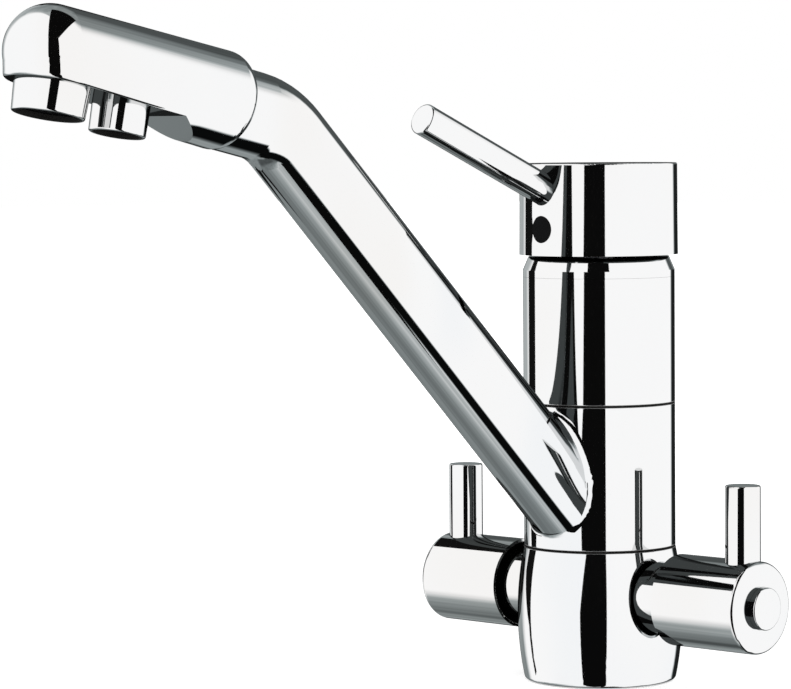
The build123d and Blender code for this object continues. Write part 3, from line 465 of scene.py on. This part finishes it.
# The light tent by direction. azimuth is degrees to the right of the camera's side as the tap sees it, from
# -180 to 180; turned is the same from 0 to 360; rise is degrees above the horizon. floorRight and floorAhead are
# where a downward ray meets the floor, in heights above it. A patch fades in from its first number to its
# second and, where it has four, out from the third to the fourth. Later patches cover earlier ones.
tent = {
    "towardsCamera": 43.96,  # degrees from +X
    "level": 1.0,
    "patches": {
        "leftRear": {"azimuth": (-132, -148), "level": 0.44},
        "ceilingCorner": {"turned": (100, 124, 196, 220), "rise": (24, 40, 64, 80), "level": 0.27},
        "floorLeft": {
            "azimuth": (-222, -178, -92, -48), "rise": (-24, -42), "level": 0.47,
            "farLevel": 0.17, "fade": (-78, -142),
        },
        "rearLeftLow": {"turned": (176, 192, 208, 224), "rise": (-56, -44, -14, -2), "level": 0.24},
        "floorAhead": {"azimuth": (-95, -65, -25, 5), "rise": (-58, -68), "level": 0.47},
        "rearLeftDark": {"turned": (174, 188, 205, 219), "rise": (-84, -76, -47, -39), "level": 0.08},
        "panelTop": {"turned": (134, 142, 184, 192), "rise": (-2, 8, 33, 43), "level": 0.08},
        "panelFoot": {"turned": (134, 142, 184, 192), "rise": (-64, -56, -26, -18), "level": 0.3},
        "panelMiddle": {"turned": (134, 142, 184, 192), "rise": (-25, -19, 0, 6), "level": 0.015},
        "panelEdge": {"turned": (132, 140, 152, 160), "rise": (-54, -46, -22, -14), "level": 0.015},
        "blackStrip": {
            "floorRight": (-0.045, 0.015, 0.24, 0.3), "floorAhead": (-0.6, -0.5, 0.42, 0.49), "rise": (-5, -7),
            "level": 0.003,
        },
        "blackRear": {
            "floorRight": (-0.044, -0.011, 0.53, 0.59), "floorAhead": (-1.1, -0.74, -0.37, -0.29), "rise": (-5, -7),
            "level": 0.003,
        },
    },
    "unevenness": 0.9,  # of the greys
    "unevenStretch": (9.0, 9.0, 5.0),
    "brightFrom": (0.55, 0.98),  # the unevenness goes between these levels
    "greyTint": (0.88, 0.99, 1.0, 1.0),
    "tintTo": (0.1, 0.9),  # the tint goes between these levels
    "secondLevel": 0.055,  # what one polished face sees of another is this much of the tent
    "kept": {"azimuth": (26, 42, 110, 126), "rise": (-30, -18, 18, 30)},  # save for most of this patch
    "keptShare": 0.75,
    "fill": 0.55,  # strength for all other rays
}


def makeWorld(look):
    world = bpy.data.worlds.new("studioWorld")
    scene.world = world
    graph = Graph(world)
    direction = graph.add("ShaderNodeTexCoord", {}, {}, out="Generated")
    turn = math.radians(look["towardsCamera"])
    ahead = graph.dot(direction, (math.cos(turn), math.sin(turn), 0))
    right = graph.dot(direction, (-math.sin(turn), math.cos(turn), 0))
    up = graph.dot(direction, (0, 0, 1))
    azimuth = graph.math("ARCTAN2", right, ahead) * (180 / math.pi)
    places = {
        "azimuth": azimuth,
        "turned": azimuth + 360 * (azimuth < 0),
        "rise": graph.math("ARCSINE", up) * (180 / math.pi),
        "floorRight": right / (0.0001 - up),
        "floorAhead": ahead / (0.0001 - up),
    }

    def maskOf(patch):
        mask = 1
        for name, place in places.items():
            limits = patch.get(name, ())
            if limits:
                mask = graph.smooth(place, *limits[:2]) * mask
            if limits[2:]:
                mask = (1 - graph.smooth(place, *limits[2:])) * mask
        return mask

    level = look["level"]
    for patch in look["patches"].values():
        patchLevel = patch["level"]
        if "fade" in patch:
            patchLevel = between(patchLevel, patch["farLevel"], graph.smooth(azimuth, *patch["fade"]))
        level = between(level, patchLevel, maskOf(patch))
    uneven = graph.noise(graph.stretched(direction, look["unevenStretch"]), 1.0, 4.0, 0.6) - 0.5
    level = level * (1 + look["unevenness"] * uneven * (1 - graph.smooth(level, *look["brightFrom"])))
    second = (graph.lightPath("Glossy Depth") > 1.5) * (1 - maskOf(look["kept"]) * look["keptShare"])
    level = level * (1 - (1 - look["secondLevel"]) * second)
    camera = graph.lightPath("Is Camera Ray")
    shown = (graph.lightPath("Is Glossy Ray") + graph.lightPath("Is Transmission Ray")).clamped()
    strength = look["fill"] * (1 - camera - shown).clamped() + camera + shown * level
    pale = (1 - shown * (1 - graph.smooth(level, *look["tintTo"]))).clamped()
    tint = graph.blendColours(pale, look["greyTint"], white)
    background = graph.add("ShaderNodeBackground", {}, {"Color": tint, "Strength": strength})
    graph.add("ShaderNodeOutputWorld", {}, {"Surface": background})


def upright(outline):
    # corners from places on the floor plan and their heights
    return [(*place, height) for place, height in outline]


def overhead(rights, aheads, height):
    turn = math.radians(tent["towardsCamera"])
    corners = [(rights[0], aheads[0]), (rights[1], aheads[0]), (rights[1], aheads[1]), (rights[0], aheads[1])]
    return [
        (-math.sin(turn) * right + math.cos(turn) * ahead, math.cos(turn) * right + math.sin(turn) * ahead, height)
        for right, ahead in corners
    ]


darkOpenings = {
    "cameraOpening": {
        "corners": upright([
            ((0.304, 0.076), -1.4), ((0.399, 0.474), -1.4), ((0.399, 0.474), 0.55), ((0.377, 0.146), 0.55),
            ((0.377, 0.146), 0.17), ((0.304, 0.076), 0.0),
        ]),
        "level": 0.003,
    },
    "sideOpening": {
        "corners": upright([
            ((0.085, -0.29), -0.1), ((0.112, -0.29), -0.1), ((0.112, -0.29), 0.245), ((0.008, -0.29), 0.245),
            ((0.008, -0.29), 0.03), ((0.085, -0.29), -0.03),
        ]),
        "level": 0.006,
    },
    "upperOpening": {
        "corners": upright([
            ((-0.12, -0.292), 0.25), ((0.03, -0.292), 0.25), ((0.03, -0.292), 0.42), ((-0.12, -0.292), 0.42),
        ]),
        "level": 0.006,
    },
    "overheadOpening": {"corners": overhead((-0.16, 0.12), (-0.018, 0.756), 0.55), "level": 0.003},
}


def makeOpening(name, look):
    # a dark gap in the tent, which only the polished faces see
    material, graph = newMaterial(name + "Finish")
    glow = graph.add("ShaderNodeEmission", {}, {"Color": white, "Strength": look["level"]})
    graph.add("ShaderNodeOutputMaterial", {}, {"Surface": glow})
    opening = makeStagePiece(name, look["corners"], material)
    opening.visible_camera = False
    opening.visible_diffuse = False
    opening.visible_shadow = False
    opening.visible_transmission = False
    opening.visible_volume_scatter = False


lamps = {
    "places": ((1.2, 1.6, 1.5), (-1.4, 0.6, 1.4), (1.2, -1.6, 1.3)),
    "aim": (0.05, 0, 0.08),
    "power": 9.0,
    "size": 1.4,
}


def makeLamps(look):
    for number, place in enumerate(look["places"]):
        lamp = bpy.data.lights.new(f"softLamp{number}", "AREA")
        lamp.energy = look["power"]
        lamp.size = look["size"]
        lampObject = bpy.data.objects.new(f"softLamp{number}", lamp)
        lampObject.location = place
        towards = Vector(look["aim"]) - Vector(place)
        lampObject.rotation_euler = towards.to_track_quat("-Z", "Y").to_euler()
        lampObject.visible_glossy = False
        scene.collection.objects.link(lampObject)


makeFloor(floorLook)
makeWorld(tent)
for openingName, openingLook in darkOpenings.items():
    makeOpening(openingName, openingLook)
makeLamps(lamps)
print("studio is set")

view = {  # the photograph's viewing angle
    "place": (0.86361, 0.74331, 0.17313),
    "forward": (-0.71859, -0.69298, -0.05839),
    "rollDegrees": -0.42,
    "lens": 163.74,
    "sensor": 36.0,
    "clipStart": 0.01,
}


def makeCamera(look):
    forward = Vector(look["forward"]).normalized()
    levelRight = forward.cross(Vector((0, 0, 1))).normalized()
    levelUp = levelRight.cross(forward)
    roll = math.radians(look["rollDegrees"])
    right = levelRight * math.cos(roll) + levelUp * math.sin(roll)
    up = levelUp * math.cos(roll) - levelRight * math.sin(roll)
    camera = bpy.data.cameras.new("photoCamera")
    camera.sensor_width = look["sensor"]
    camera.lens = look["lens"]
    camera.clip_start = look["clipStart"]
    cameraObject = bpy.data.objects.new("photoCamera", camera)
    turn = Matrix((right, up, -forward)).transposed()
    cameraObject.matrix_world = Matrix.Translation(look["place"]) @ turn.to_4x4()
    scene.collection.objects.link(cameraObject)
    scene.camera = cameraObject


makeCamera(view)
print("camera is set")
